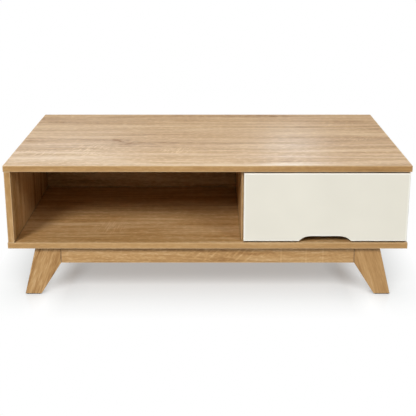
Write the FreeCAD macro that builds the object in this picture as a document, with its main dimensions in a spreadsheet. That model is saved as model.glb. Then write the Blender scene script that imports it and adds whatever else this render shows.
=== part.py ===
import FreeCAD, Part
import math
import os
import types

import Sketcher

# Coffee table with an open bay on the left and one drawer on the right, on a base with four splayed legs.
# Millimetres, +Z up. The origin is on the floor under the middle of the table, X runs along its length and
# the drawer opens towards -Y. Each physical piece of the table is one object with a label of its own.

# Driving sizes. Every other length is worked out from these.
SIZES = {
    # Carcass
    "top_length": 1150,          # top and bottom panels along X
    "top_depth": 650,            # top and bottom panels along Y
    "board": 18,                 # thickness of the carcass boards
    "bay_height": 212,           # clear height between bottom and top panels
    "side_inset": 2,             # side panels stand in from the ends of the top
    "open_bay_width": 652,       # clear width of the open bay
    "niche_depth": 102,          # open space behind the back panel
    "edge_round": 1,             # rounding of the board edges
    # Base
    "leg_height": 152,           # floor to underside of the bottom panel
    "base_inset": 20,            # legs stand back from the front and rear edges
    "leg_thickness": 32,         # along Y
    "leg_top_width": 71,         # along X, at the bottom panel
    "foot_width": 47,            # along X, at the floor
    "foot_inset": 38,            # outer corner of a foot from the end of the top
    "leg_splay": 38,             # lean of the outer edge from foot to bottom panel
    "leg_round": 1.5,            # rounding of the leg edges
    "rail_height": 53,
    "rail_thickness": 20,
    "rail_reveal": 2,            # rails stand back from the face of the legs
    "glide_inset": 3,            # stick-on glide in from the faces of a foot
    "glide_height": 2,
    "glide_round": 2,            # rounding of the upright edges of a glide
    # Drawer front
    "front_board": 18,
    "front_reveal": 2,           # drawer face behind the edge of the top
    "front_gap": 2,              # between drawer front and the edges that it overlays
    "front_gap_over": 4.5,       # under the top panel
    "front_gap_under": 4,        # over the bottom panel
    "front_overlap": 12,         # of the drawer front over the edge of the divider
    "front_end_gap": 1,          # drawer front in from the face of the right side panel
    "front_round": 2,            # rounding of the drawer front edges
    "grip_width": 150,           # finger cut-out at the lower edge
    "grip_height": 15,
    "grip_radius": 46,
    # Drawer box
    "drawer_board": 12,
    "drawer_base": 3,            # thickness of the base board
    "drawer_rear_gap": 60,       # drawer box to back panel
    "drawer_top_gap": 40,        # drawer sides to top panel
    "groove_depth": 6,
    "groove_rise": 17,           # groove above the lower edge of the drawer sides
    "groove_play": 0.1,          # around the base board in its grooves
    # Runners
    "runner_gap": 12.5,          # between carcass wall and drawer side
    "runner_rise": 15,           # runner above the bottom panel
    "runner_setback": 4,         # runner behind the drawer front
    "runner_hold": 106,          # length of the runner that stays engaged when the drawer is fully open
    "runner_sheet": 1.2,
    "runner_flange_gap": 1.5,    # lower flange short of the drawer side
    "runner_lip": 5.5,           # upper lip from the wall
    "runner_lip_gap": 1,         # between lip and drawer flange
    "member_foot": 4,            # drawer member above the lower face of the runner
    "member_ledge": 11,          # ledge under the drawer side
    "roller_diameter": 20,
    "roller_width": 7,
    "roller_inset": 16,          # roller axle from the end of the runner
    "roller_play": 0.3,          # between roller and track
    "rivet_diameter": 4,
    "rivet_head": 6,
    "rivet_head_height": 1.2,
    "rivet_shoulder": 1,
    "rivet_play": 0.05,          # radial, rivet in roller and sheet
    "rivet_slack": 0.1,          # endwise, each side of a roller
    "stop_height": 4,            # tab that stops the rear roller
    "runner_screw_diameter": 3.5,
    "runner_screw_length": 10,
    "runner_screw_head": 7,
    "runner_screw_head_height": 1.4,
    "runner_screw_inset": 40,    # outer screws from the ends of the runner
    # Fittings
    "hole_play": 0.1,            # radial, fitting in its hole
    "hole_relief": 0.5,          # endwise, beyond the tip of a fitting
    "cut_over": 1,               # a through cut runs this far past the far face
    "dowel_diameter": 8,
    "dowel_length": 30,
    "dowel_in_face": 10.5,
    "dowel_inset": 45,           # from the ends of a joint
    "frame_dowel_diameter": 10,
    "frame_dowel_length": 50,
    "frame_dowel_in_leg": 20,
    "frame_dowel_inset": 14,     # from the edges of a rail
    "connector_head": 10,
    "connector_head_height": 4,
    "connector_shank": 7,
    "connector_thread": 5.2,
    "connector_length": 50,
    "connector_inset": 60,
    "bolt_thread": 6.8,
    "bolt_thread_length": 11,
    "bolt_shaft": 5.8,
    "bolt_neck": 3.6,
    "bolt_neck_length": 4,
    "bolt_head": 6.4,
    "bolt_head_length": 4,
    "bolt_play": 0.3,            # radial, around shaft and head
    "cam_diameter": 15,
    "cam_inset": 120,            # from the ends of a joint
    "cam_distance": 24,          # cam centre from the joint
    "cam_wall": 5.5,             # board left behind a carcass cam
    "drawer_cam_wall": 2.5,      # board left behind a drawer cam
    "cover_diameter": 18,
    "cover_height": 1,
    "drawer_dowel_diameter": 6,
    "drawer_dowel_length": 28,
    "drawer_dowel_inset": 30,
    "drawer_screw_head": 7,
    "drawer_screw_head_height": 2,
    "drawer_screw_diameter": 4,
    "drawer_screw_length": 35,
    "bracket_leg": 25,
    "bracket_width": 20,
    "bracket_sheet": 2.5,
    "bracket_inset": 128,        # outer brackets of a long rail from its ends
    "screw_diameter": 4,
    "screw_length": 16,
    "screw_head": 8,
    "screw_head_height": 2.2,
    "bumper_diameter": 8,
    "bumper_play": 0.2,          # bumper short of the edge that it meets
    "bumper_inset": 25,          # from the upper and lower edges of the drawer front
}

doc = FreeCAD.newDocument("coffee_table")
sheet = doc.addObject("Spreadsheet::Sheet", "sizes")
for row, (alias, value) in enumerate(SIZES.items(), start=1):
    sheet.set(f"A{row}", alias)
    sheet.set(f"B{row}", str(value))
    sheet.setAlias(f"B{row}", alias)
doc.recompute()


class Size:
    """A length: its number, and the spreadsheet formula that a property is bound to."""

    def __init__(self, formula, value):
        self.formula = formula
        self.value = float(value)

    def __add__(self, other):
        other = sized(other)
        return Size(f"({self.formula} + {other.formula})", self.value + other.value)

    def __sub__(self, other):
        other = sized(other)
        return Size(f"({self.formula} - {other.formula})", self.value - other.value)

    def __mul__(self, other):
        other = sized(other)
        return Size(f"({self.formula} * {other.formula})", self.value * other.value)

    def __truediv__(self, other):
        other = sized(other)
        return Size(f"({self.formula} / {other.formula})", self.value / other.value)

    def __neg__(self):
        return Size(f"(0 - {self.formula})", -self.value)

    def __radd__(self, other):
        return sized(other) + self

    def __rmul__(self, other):
        return sized(other) * self


def sized(item):
    """A plain number as a Size; a Size is returned as it is."""
    if isinstance(item, Size):
        return item
    return Size(f"({item})", item)


def root(item):
    return Size(f"sqrt({item.formula})", math.sqrt(item.value))


def bind(thing, path, item):
    thing.setExpression(path, sized(item).formula)


d = types.SimpleNamespace(**{alias: Size(f"sizes.{alias}", value) for alias, value in SIZES.items()})

SUB_PARTS = []
PLANES = {"X": "YZ_Plane", "Y": "XZ_Plane", "Z": "XY_Plane"}
ACROSS = {"X": "YZ", "Y": "XZ", "Z": "XY"}


class Piece:
    """A body that stands at its own corner and is drawn, cut and drilled in the coordinates of the table."""

    def __init__(self, label, x=0, y=0, z=0, kept=True):
        self.body = doc.addObject("PartDesign::Body", label)
        self.body.Label = label
        self.corner = [sized(x), sized(y), sized(z)]
        for name, value in zip("xyz", self.corner):
            bind(self.body, f"Placement.Base.{name}", value)
        if kept:
            SUB_PARTS.append(self.body)

    def sketch(self, axis, level):
        """An empty sketch across an axis, at a level along it."""
        drawing = self.body.newObject("Sketcher::SketchObject", "sketch")
        planes = [plane for plane in self.body.Origin.OriginFeatures if plane.Role == PLANES[axis]]
        drawing.AttachmentSupport = [(planes[0], "")]
        drawing.MapMode = "FlatFace"
        height = sized(level) - self.corner["XYZ".index(axis)]
        # The XZ plane faces -Y, the other two face along their axis.
        bind(drawing, "AttachmentOffset.Base.z", -height if axis == "Y" else height)
        return drawing

    def spot(self, axis, point):
        """A point across an axis, measured from the corner of the piece."""
        return [sized(value) - self.corner["XYZ".index(other)] for value, other in zip(point, ACROSS[axis])]

    def place(self, drawing, index, end, spot):
        """Fixes one point of a sketch element at a spot."""
        for name, kind, value in (("x", "DistanceX", spot[0]), ("y", "DistanceY", spot[1])):
            rule = drawing.addConstraint(Sketcher.Constraint(kind, -1, 1, index, end, value.value))
            drawing.renameConstraint(rule, f"{name}{index}")
            bind(drawing, f"Constraints.{name}{index}", value)

    def outline(self, axis, level, points, arcs=None):
        """A closed outline through points. arcs gives the radius and centre of the sides that are arcs."""
        drawing = self.sketch(axis, level)
        arcs = arcs or {}
        spots = [self.spot(axis, point) for point in points]
        corners = [FreeCAD.Vector(spot[0].value, spot[1].value, 0) for spot in spots]
        count = len(points)
        sides = []
        ends = []
        for index in range(count):
            first = corners[index]
            last = corners[(index + 1) % count]
            if index not in arcs:
                sides.append(Part.LineSegment(first, last))
                ends.append((1, 2))
                continue
            radius, centre = arcs[index]
            middle = self.spot(axis, centre)
            hub = FreeCAD.Vector(middle[0].value, middle[1].value, 0)
            turns = [math.atan2(point.y - hub.y, point.x - hub.x) for point in (first, last)]
            forward = (turns[1] - turns[0]) % (2 * math.pi) < math.pi
            ring = Part.Circle(hub, FreeCAD.Vector(0, 0, 1), radius.value)
            sides.append(Part.ArcOfCircle(ring, *(turns if forward else turns[::-1])))
            ends.append((1, 2) if forward else (2, 1))
        drawing.addGeometry(sides, False)
        for index in range(count):
            after = (index + 1) % count
            drawing.addConstraint(Sketcher.Constraint("Coincident", index, ends[index][1], after, ends[after][0]))
        for index in range(count):
            self.place(drawing, index, ends[index][0], spots[index])
        for index, (radius, _) in arcs.items():
            rule = drawing.addConstraint(Sketcher.Constraint("Radius", index, radius.value))
            drawing.renameConstraint(rule, f"radius{index}")
            bind(drawing, f"Constraints.radius{index}", radius)
        return drawing

    def pad(self, axis, points, far):
        """Material from the corner of the piece to a far level, with an outline across an axis."""
        near = self.corner["XYZ".index(axis)]
        drawing = self.outline(axis, near, points)
        pad = self.body.newObject("PartDesign::Pad", "pad")
        pad.Profile = drawing
        pad.Reversed = axis == "Y"
        bind(pad, "Length", sized(far) - near)
        return self

    def block(self, axis, x, y, z):
        """A rectangular board from the corner of the piece to the opposite corner, padded along an axis."""
        far = [sized(x), sized(y), sized(z)]
        one, two = ["XYZ".index(other) for other in ACROSS[axis]]
        low = self.corner
        points = [(low[one], low[two]), (far[one], low[two]), (far[one], far[two]), (low[one], far[two])]
        return self.pad(axis, points, far["XYZ".index(axis)])

    def pocket(self, drawing, axis, into, depth):
        pocket = self.body.newObject("PartDesign::Pocket", "pocket")
        pocket.Profile = drawing
        pocket.Reversed = (into > 0) != (axis == "Y")
        bind(pocket, "Length", depth)
        return self

    def cut(self, axis, level, into, depth, points, arcs=None):
        """Removes an outline from a level along an axis, forwards or backwards."""
        return self.pocket(self.outline(axis, level, points, arcs), axis, into, depth)

    def drill(self, axis, level, into, diameter, depth, centres):
        """Drills round holes of one size from a level along an axis, forwards or backwards."""
        drawing = self.sketch(axis, level)
        spots = [self.spot(axis, centre) for centre in centres]
        up = FreeCAD.Vector(0, 0, 1)
        for index, spot in enumerate(spots):
            centre = FreeCAD.Vector(spot[0].value, spot[1].value, 0)
            drawing.addGeometry(Part.Circle(centre, up, diameter.value / 2), False)
            self.place(drawing, index, 3, spot)
            rule = drawing.addConstraint(Sketcher.Constraint("Diameter", index, diameter.value))
            drawing.renameConstraint(rule, f"diameter{index}")
            bind(drawing, f"Constraints.diameter{index}", diameter)
        return self.pocket(drawing, axis, into, depth)

    def soften(self, radius, chosen):
        """Rounds the chosen edges."""
        doc.recompute()
        base = self.body.Tip
        names = [f"Edge{index}" for index, edge in enumerate(base.Shape.Edges, start=1) if chosen(edge)]
        rounding = self.body.newObject("PartDesign::Fillet", "rounding")
        rounding.Base = (base, names)
        bind(rounding, "Radius", radius)
        return self

    def turn(self, points):
        """A solid of revolution about the Z axis of the body, from half of its section."""
        drawing = self.outline("Y", self.corner[1], points)
        turning = self.body.newObject("PartDesign::Revolution", "turning")
        turning.Profile = drawing
        turning.ReferenceAxis = (drawing, ["V_Axis"])
        turning.Angle = 360
        return self


def every_edge(edge):
    return True


def edges_along(axis):
    """Picks straight edges that run along an axis."""
    def chosen(edge):
        span = edge.Vertexes[-1].Point - edge.Vertexes[0].Point
        across = [abs(value) for index, value in enumerate(span) if "XYZ"[index] != axis]
        return max(across) < 0.001 < span.Length
    return chosen


def edges_across(axis):
    """Picks edges that lie flat across an axis."""
    def chosen(edge):
        box = edge.BoundBox
        return (box.XLength, box.YLength, box.ZLength)["XYZ".index(axis)] < 0.001
    return chosen


PX = FreeCAD.Vector(1, 0, 0)
PY = FreeCAD.Vector(0, 1, 0)
PZ = FreeCAD.Vector(0, 0, 1)
NX = -PX
NY = -PY
NZ = -PZ


def facing(z_to, x_to):
    """The rotation that turns +Z and +X of a fitting to two directions of the table."""
    return FreeCAD.Rotation(x_to, z_to.cross(x_to), z_to, "ZXY")


INTO_X = facing(PX, PZ)
INTO_MINUS_X = facing(NX, PZ)
INTO_Y = facing(PY, PX)
INTO_MINUS_Y = facing(NY, PX)
UP = facing(PZ, PX)
DOWN = facing(NZ, PX)


def stand(thing, x, y, z, rotation):
    """Turns an object and binds the place that it stands at."""
    point = [sized(value) for value in (x, y, z)]
    thing.Placement = FreeCAD.Placement(FreeCAD.Vector(*[value.value for value in point]), rotation)
    for name, value in zip("xyz", point):
        bind(thing, f"Placement.Base.{name}", value)


def group(label, pattern, places):
    """Separate copies of one fitting under one label. A place is x, y, z and a rotation."""
    copies = []
    for place in places:
        copy = doc.addObject("App::Link", f"{label}_copy")
        copy.LinkedObject = pattern.body
        stand(copy, *place)
        copies.append(copy)
    together = doc.addObject("Part::Compound", label)
    together.Label = label
    together.Links = copies
    SUB_PARTS.append(together)


def pattern_of(label, points):
    """A turned fitting that is copied into groups. It points along +Z from its head."""
    return Piece(label, kept=False).turn(points)


def cross_recess(piece, reach, width, depth):
    """A cross-shaped driver recess in the head of a turned fitting."""
    half = width / 2
    points = [(reach, -half), (reach, half), (half, half), (half, reach), (-half, reach), (-half, half)]
    points += [(-reach, half), (-reach, -half), (-half, -half), (-half, -reach), (half, -reach), (half, -half)]
    return piece.cut("Z", 0, 1, depth, points)


def dowel_pattern(label, diameter, length):
    radius = diameter / 2
    bevel = diameter / 8
    return pattern_of(label, [
        (0, 0), (radius - bevel, 0), (radius, bevel), (radius, length - bevel), (radius - bevel, length), (0, length),
    ])


def screw_pattern(label, head, head_height, shank, length):
    """A flat-headed screw with a pointed tip; its length is counted under the head."""
    tip = head_height + length
    screw = pattern_of(label, [
        (0, 0), (head / 2, 0), (head / 2, head_height), (shank / 2, head_height),
        (shank / 2, tip - shank / 2), (0, tip),
    ])
    return cross_recess(screw, head / 4, head / 8, head_height * 0.6)


def hole(diameter):
    """The hole that a fitting of a given diameter goes into."""
    return diameter + 2 * d.hole_play


# Levels and faces that several pieces share.
half_length = d.top_length / 2
front = -(d.top_depth / 2)
rear = d.top_depth / 2
floor_under = d.leg_height
floor_top = floor_under + d.board
ceiling = floor_top + d.bay_height
top_face = ceiling + d.board
side_outer = half_length - d.side_inset
side_inner = side_outer - d.board
divider_left = d.open_bay_width - side_inner
divider_right = divider_left + d.board
drawer_face = front + d.front_reveal
front_back = drawer_face + d.front_board
divider_front = front_back + d.front_gap
back_rear = rear - d.niche_depth
back_face = back_rear - d.board
back_middle = back_face + d.board / 2

# Base: legs, rails and what joins them.
foot_outer = half_length - d.foot_inset
foot_inner = foot_outer - d.foot_width
leg_top_outer = foot_outer - d.leg_splay
leg_seam = leg_top_outer - d.leg_top_width
rail_bottom = floor_under - d.rail_height
leg_face = d.top_depth / 2 - d.base_inset
leg_inner_face = leg_face - d.leg_thickness
rail_face = leg_face - d.rail_reveal
rail_inner_face = rail_face - d.rail_thickness
rail_middle = rail_face - d.rail_thickness / 2
side_rail_middle = leg_seam + d.leg_top_width / 2
side_rail_outer = side_rail_middle + d.rail_thickness / 2
side_rail_inner = side_rail_middle - d.rail_thickness / 2
frame_dowel_levels = [rail_bottom + d.frame_dowel_inset, floor_under - d.frame_dowel_inset]
frame_hole = hole(d.frame_dowel_diameter)
frame_hole_in_leg = d.frame_dowel_in_leg + d.hole_relief
frame_hole_in_rail = d.frame_dowel_length - d.frame_dowel_in_leg + d.hole_relief
bracket_rows = [-(leg_seam - d.bracket_inset), sized(0), leg_seam - d.bracket_inset]
bracket_reach = d.bracket_leg * 0.6
bracket_screw_level = floor_under - bracket_reach
screw_hole_depth = d.screw_length - d.bracket_sheet + d.hole_relief


def leg(label, hand, row):
    """A leg at hand -1 left or 1 right and row -1 front or 1 rear."""
    low = leg_inner_face if row > 0 else -leg_face
    near = -foot_outer if hand < 0 else leg_seam
    piece = Piece(label, near, low, d.glide_height)
    profile = [
        (hand * foot_outer, d.glide_height), (hand * foot_inner, d.glide_height), (hand * leg_seam, rail_bottom),
        (hand * leg_seam, floor_under), (hand * leg_top_outer, floor_under),
    ]
    piece.pad("Y", profile, low + d.leg_thickness)
    piece.soften(d.leg_round, edges_across("Y"))
    across = [(row * rail_middle, level) for level in frame_dowel_levels]
    piece.drill("X", hand * leg_seam, hand, frame_hole, frame_hole_in_leg, across)
    along = [(hand * side_rail_middle, level) for level in frame_dowel_levels]
    piece.drill("Y", row * leg_inner_face, row, frame_hole, frame_hole_in_leg, along)


def long_rail(label, row):
    low = rail_inner_face if row > 0 else -rail_face
    piece = Piece(label, -leg_seam, low, rail_bottom)
    piece.block("Y", leg_seam, low + d.rail_thickness, floor_under)
    piece.soften(d.edge_round, edges_along("X"))
    ends = [(row * rail_middle, level) for level in frame_dowel_levels]
    for hand in (-1, 1):
        piece.drill("X", hand * leg_seam, -hand, frame_hole, frame_hole_in_rail, ends)
    screws = [(x, bracket_screw_level) for x in bracket_rows]
    piece.drill("Y", row * rail_inner_face, row, hole(d.screw_diameter), screw_hole_depth, screws)


def side_rail(label, hand):
    low = side_rail_inner if hand > 0 else -side_rail_outer
    piece = Piece(label, low, -leg_inner_face, rail_bottom)
    piece.block("X", low + d.rail_thickness, leg_inner_face, floor_under)
    piece.soften(d.edge_round, edges_along("Y"))
    ends = [(hand * side_rail_middle, level) for level in frame_dowel_levels]
    for row in (-1, 1):
        piece.drill("Y", row * leg_inner_face, -row, frame_hole, frame_hole_in_rail, ends)
    screws = [(0, bracket_screw_level)]
    piece.drill("X", hand * side_rail_inner, hand, hole(d.screw_diameter), screw_hole_depth, screws)


leg("front_left_leg", -1, -1)
leg("front_right_leg", 1, -1)
leg("rear_left_leg", -1, 1)
leg("rear_right_leg", 1, 1)
long_rail("front_rail", -1)
long_rail("rear_rail", 1)
side_rail("left_side_rail", -1)
side_rail("right_side_rail", 1)

frame_dowel = dowel_pattern("frame_dowel_pattern", d.frame_dowel_diameter, d.frame_dowel_length)
frame_dowel_places = []
for hand in (-1, 1):
    for row in (-1, 1):
        for level in frame_dowel_levels:
            x = hand * (leg_seam + d.frame_dowel_in_leg)
            frame_dowel_places.append((x, row * rail_middle, level, INTO_MINUS_X if hand > 0 else INTO_X))
            y = row * (leg_inner_face + d.frame_dowel_in_leg)
            frame_dowel_places.append((hand * side_rail_middle, y, level, INTO_MINUS_Y if row > 0 else INTO_Y))
group("frame_dowels", frame_dowel, frame_dowel_places)

glide_reach = (foot_outer - foot_inner) / 2 - d.glide_inset
glide_half_depth = d.leg_thickness / 2 - d.glide_inset
glide = Piece("glide_pattern", kept=False)
glide.pad("Z", [
    (-glide_reach, -glide_half_depth), (glide_reach, -glide_half_depth),
    (glide_reach, glide_half_depth), (-glide_reach, glide_half_depth),
], d.glide_height)
glide.soften(d.glide_round, edges_along("Z"))
foot_middle = (foot_outer + foot_inner) / 2
leg_middle = leg_face - d.leg_thickness / 2
group("foot_glides", glide, [
    (hand * foot_middle, row * leg_middle, 0, UP) for hand in (-1, 1) for row in (-1, 1)
])

# Angle brackets: one leg lies on a rail, the other under the bottom panel.
bracket = Piece("bracket_pattern", kept=False)
bracket.pad("X", [
    (0, -d.bracket_leg), (d.bracket_sheet, -d.bracket_leg), (d.bracket_sheet, -d.bracket_sheet),
    (d.bracket_leg, -d.bracket_sheet), (d.bracket_leg, 0), (0, 0),
], d.bracket_width)
bracket_middle = d.bracket_width / 2
bracket.drill("Z", 0, -1, hole(d.screw_diameter), d.bracket_sheet + d.cut_over, [(bracket_middle, bracket_reach)])
bracket.drill("Y", 0, 1, hole(d.screw_diameter), d.bracket_sheet + d.cut_over, [(bracket_middle, -bracket_reach)])
bracket_screw = screw_pattern(
    "bracket_screw_pattern", d.screw_head, d.screw_head_height, d.screw_diameter, d.screw_length,
)
head_out = d.bracket_sheet + d.screw_head_height
bracket_places = []
bracket_screw_places = []
panel_screw_spots = []
for row in (-1, 1):
    for x in bracket_rows:
        turned = facing(PZ, PX if row < 0 else NX)
        bracket_places.append((x + row * bracket_middle, row * rail_inner_face, floor_under, turned))
        panel_screw_spots.append((x, row * (rail_inner_face - bracket_reach)))
        y = row * (rail_inner_face - head_out)
        bracket_screw_places.append((x, y, bracket_screw_level, INTO_Y if row > 0 else INTO_MINUS_Y))
for hand in (-1, 1):
    turned = facing(PZ, NY if hand < 0 else PY)
    bracket_places.append((hand * side_rail_inner, -hand * bracket_middle, floor_under, turned))
    panel_screw_spots.append((hand * (side_rail_inner - bracket_reach), sized(0)))
    x = hand * (side_rail_inner - head_out)
    bracket_screw_places.append((x, 0, bracket_screw_level, INTO_X if hand > 0 else INTO_MINUS_X))
for x, y in panel_screw_spots:
    bracket_screw_places.append((x, y, floor_under - head_out, UP))
group("base_brackets", bracket, bracket_places)
group("base_bracket_screws", bracket_screw, bracket_screw_places)

# Carcass: top, bottom, three uprights and the back panel.
runner_base = floor_top + d.runner_rise
axle_level = runner_base + d.runner_sheet + d.roller_play + d.roller_diameter / 2
lip_under = axle_level + d.roller_diameter / 2 + d.roller_play
runner_top = lip_under + d.runner_sheet
drawer_rear = back_face - d.drawer_rear_gap
runner_front = front_back + d.runner_setback
runner_screw_level = lip_under - d.runner_screw_head / 2 - d.hole_play
runner_screw_rows = [
    runner_front + d.runner_screw_inset, (runner_front + drawer_rear) / 2, drawer_rear - d.runner_screw_inset,
]
runner_screw_depth = d.runner_screw_length - d.runner_sheet + d.hole_relief
cam_depth = d.board - d.cam_wall
cam_level = ceiling - d.cam_distance
bolt_hole = d.bolt_head + 2 * d.bolt_play
dowel_hole = hole(d.dowel_diameter)
dowel_hole_in_face = d.dowel_in_face + d.hole_relief
dowel_hole_in_edge = d.dowel_length - d.dowel_in_face + d.hole_relief
connector_hole_in_edge = d.connector_length - d.board + d.hole_relief
back_levels = [floor_top + d.dowel_inset, ceiling - d.dowel_inset]
back_rows = [-side_inner + d.cam_inset, sized(0), side_inner - d.cam_inset]

top_dowels = [(x, back_middle) for x in back_rows]
top_bolts = []
connectors = [(x, back_middle) for x in back_rows]
cams = []


def upright(label, low, near, far, cam_side):
    """A standing board with its low X face, near and far edges, and the side its cams are on.

    The cams stand clear of the back panel, which meets the side panels some way in from their rear edges.
    """
    piece = Piece(label, low, near, floor_top)
    piece.block("X", low + d.board, far, ceiling)
    piece.soften(d.edge_round, edges_along("Z"))
    middle = low + d.board / 2
    cam_face = low + d.board if cam_side > 0 else low
    dowels = [(middle, near + d.dowel_inset), (middle, far - d.dowel_inset)]
    bolts = [(middle, near + d.cam_inset), (middle, back_face - d.cam_inset)]
    below = [
        (middle, near + d.connector_inset), (middle, (near + far) / 2), (middle, far - d.connector_inset),
    ]
    piece.drill("Z", ceiling, -1, dowel_hole, dowel_hole_in_edge, dowels)
    piece.drill("Z", ceiling, -1, bolt_hole, d.cam_distance, bolts)
    piece.drill("Z", floor_top, 1, hole(d.connector_thread), connector_hole_in_edge, below)
    piece.drill("X", cam_face, -cam_side, hole(d.cam_diameter), cam_depth, [(y, cam_level) for _, y in bolts])
    top_dowels.extend(dowels)
    top_bolts.extend(bolts)
    connectors.extend(below)
    rotation = INTO_MINUS_X if cam_side > 0 else INTO_X
    cams.extend((cam_face, y, cam_level, rotation) for _, y in bolts)
    return piece


left_panel = upright("left_side_panel", -side_outer, front, rear, 1)
divider = upright("divider_panel", divider_left, divider_front, back_face, 1)
right_panel = upright("right_side_panel", side_inner, divider_front, rear, -1)
back_ends = [(back_middle, level) for level in back_levels]
left_panel.drill("X", -side_inner, -1, dowel_hole, dowel_hole_in_face, back_ends)
right_panel.drill("X", side_inner, 1, dowel_hole, dowel_hole_in_face, back_ends)
divider_middle = divider_left + d.board / 2
divider_joint = [(divider_middle, level) for level in back_levels]
divider.drill("Y", back_face, -1, dowel_hole, dowel_hole_in_edge, divider_joint)
runner_screws = [(y, runner_screw_level) for y in runner_screw_rows]
runner_screw_hole = hole(d.runner_screw_diameter)
divider.drill("X", divider_right, -1, runner_screw_hole, runner_screw_depth, runner_screws)
right_panel.drill("X", side_inner, 1, runner_screw_hole, runner_screw_depth, runner_screws)

back = Piece("back_panel", -side_inner, back_face, floor_top)
back.block("Y", side_inner, back_rear, ceiling)
back.drill("X", -side_inner, 1, dowel_hole, dowel_hole_in_edge, back_ends)
back.drill("X", side_inner, -1, dowel_hole, dowel_hole_in_edge, back_ends)
back.drill("Y", back_face, 1, dowel_hole, dowel_hole_in_face, divider_joint)
back.drill("Z", ceiling, -1, dowel_hole, dowel_hole_in_edge, [(x, back_middle) for x in back_rows])
back_screws = [(x, back_middle) for x in back_rows]
back.drill("Z", floor_top, 1, hole(d.connector_thread), connector_hole_in_edge, back_screws)

top = Piece("top_panel", -half_length, front, ceiling)
top.block("Z", half_length, rear, top_face)
top.soften(d.edge_round, every_edge)
top.drill("Z", ceiling, 1, dowel_hole, dowel_hole_in_face, top_dowels)
top.drill("Z", ceiling, 1, hole(d.bolt_thread), d.bolt_thread_length + d.hole_relief, top_bolts)

bottom = Piece("bottom_panel", -half_length, front, floor_under)
bottom.block("Z", half_length, rear, floor_top)
bottom.soften(d.edge_round, every_edge)
bottom.drill("Z", floor_under, 1, hole(d.connector_shank), d.board + d.cut_over, connectors)
bottom.drill("Z", floor_under, 1, hole(d.connector_head), d.connector_head_height, connectors)
bottom.drill("Z", floor_under, 1, hole(d.screw_diameter), screw_hole_depth, panel_screw_spots)

dowel = dowel_pattern("dowel_pattern", d.dowel_diameter, d.dowel_length)
dowel_places = [(x, y, ceiling + d.dowel_in_face, DOWN) for x, y in top_dowels]
for level in back_levels:
    dowel_places.append((-side_inner - d.dowel_in_face, back_middle, level, INTO_X))
    dowel_places.append((side_inner + d.dowel_in_face, back_middle, level, INTO_MINUS_X))
    dowel_places.append((divider_middle, back_face + d.dowel_in_face, level, INTO_MINUS_Y))
group("carcass_dowels", dowel, dowel_places)

connector = pattern_of("connector_pattern", [
    (0, 0), (d.connector_head / 2, 0), (d.connector_head / 2, d.connector_head_height),
    (d.connector_shank / 2, d.connector_head_height), (d.connector_shank / 2, d.board),
    (d.connector_thread / 2, d.board), (d.connector_thread / 2, d.connector_length - d.connector_thread / 2),
    (0, d.connector_length),
])
cross_recess(connector, d.connector_head / 4, d.connector_head / 8, d.connector_head_height / 2)
group("connector_screws", connector, [(x, y, floor_under, UP) for x, y in connectors])

# Cam fittings: a bolt in one board and a disc in the next, bored from its rim for the head of the bolt.
bolt_shaft_end = d.bolt_thread_length + d.cam_distance - d.bolt_neck_length
bolt_neck_end = bolt_shaft_end + d.bolt_neck_length
bolt_end = bolt_neck_end + d.bolt_head_length
cam_bolt = pattern_of("cam_bolt_pattern", [
    (0, 0), (d.bolt_thread / 2, 0), (d.bolt_thread / 2, d.bolt_thread_length),
    (d.bolt_shaft / 2, d.bolt_thread_length), (d.bolt_shaft / 2, bolt_shaft_end), (d.bolt_neck / 2, bolt_shaft_end),
    (d.bolt_neck / 2, bolt_neck_end), (d.bolt_head / 2, bolt_neck_end), (d.bolt_head / 2, bolt_end), (0, bolt_end),
])


def cam_pattern(label, depth, bolt_level):
    """A cam disc whose outer face is at 0, with its rim bore towards +X at the level of the bolt."""
    radius = d.cam_diameter / 2
    height = depth - d.hole_relief / 2
    disc = pattern_of(label, [(0, 0), (radius, 0), (radius, height), (0, height)])
    bore_depth = radius + d.bolt_head_length + d.hole_relief
    disc.drill("X", radius, -1, bolt_hole, bore_depth, [(0, bolt_level)])
    return cross_recess(disc, radius / 2, radius / 5, bolt_level / 4)


cam = cam_pattern("cam_disc_pattern", cam_depth, d.board / 2)
group("cam_bolts", cam_bolt, [(x, y, ceiling + d.bolt_thread_length, DOWN) for x, y in top_bolts])
group("cam_discs", cam, cams)
cover = pattern_of("cam_cover_pattern", [
    (0, 0), (d.cover_diameter / 2 - d.cover_height / 2, 0), (d.cover_diameter / 2, d.cover_height / 2),
    (d.cover_diameter / 2, d.cover_height), (0, d.cover_height),
])
open_bay_cams = cams[:2]
group("cam_covers", cover, [(x + d.cover_height, y, z, rotation) for x, y, z, rotation in open_bay_cams])

# Runners. A distance from the wall is taken inwards from the divider or from the right side panel.
member_bottom = runner_base + d.member_foot
drawer_bottom = member_bottom + d.runner_sheet
member_face = d.runner_gap - d.runner_sheet
flange_start = d.runner_lip + d.runner_lip_gap
front_axle = runner_front + d.roller_inset
rear_axle = drawer_rear - d.roller_inset
rivet_hole = d.rivet_diameter + 2 * d.rivet_play
roller_seat = d.runner_sheet + d.rivet_shoulder + d.rivet_slack
drawer_travel = drawer_rear - runner_front - d.runner_hold
stop_face = rear_axle - drawer_travel - d.roller_diameter / 2 - d.roller_play


def from_wall(hand, distance):
    """X of a distance from the wall of the drawer bay at the left, -1, or at the right, 1."""
    return divider_right + distance if hand < 0 else side_inner - distance


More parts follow.
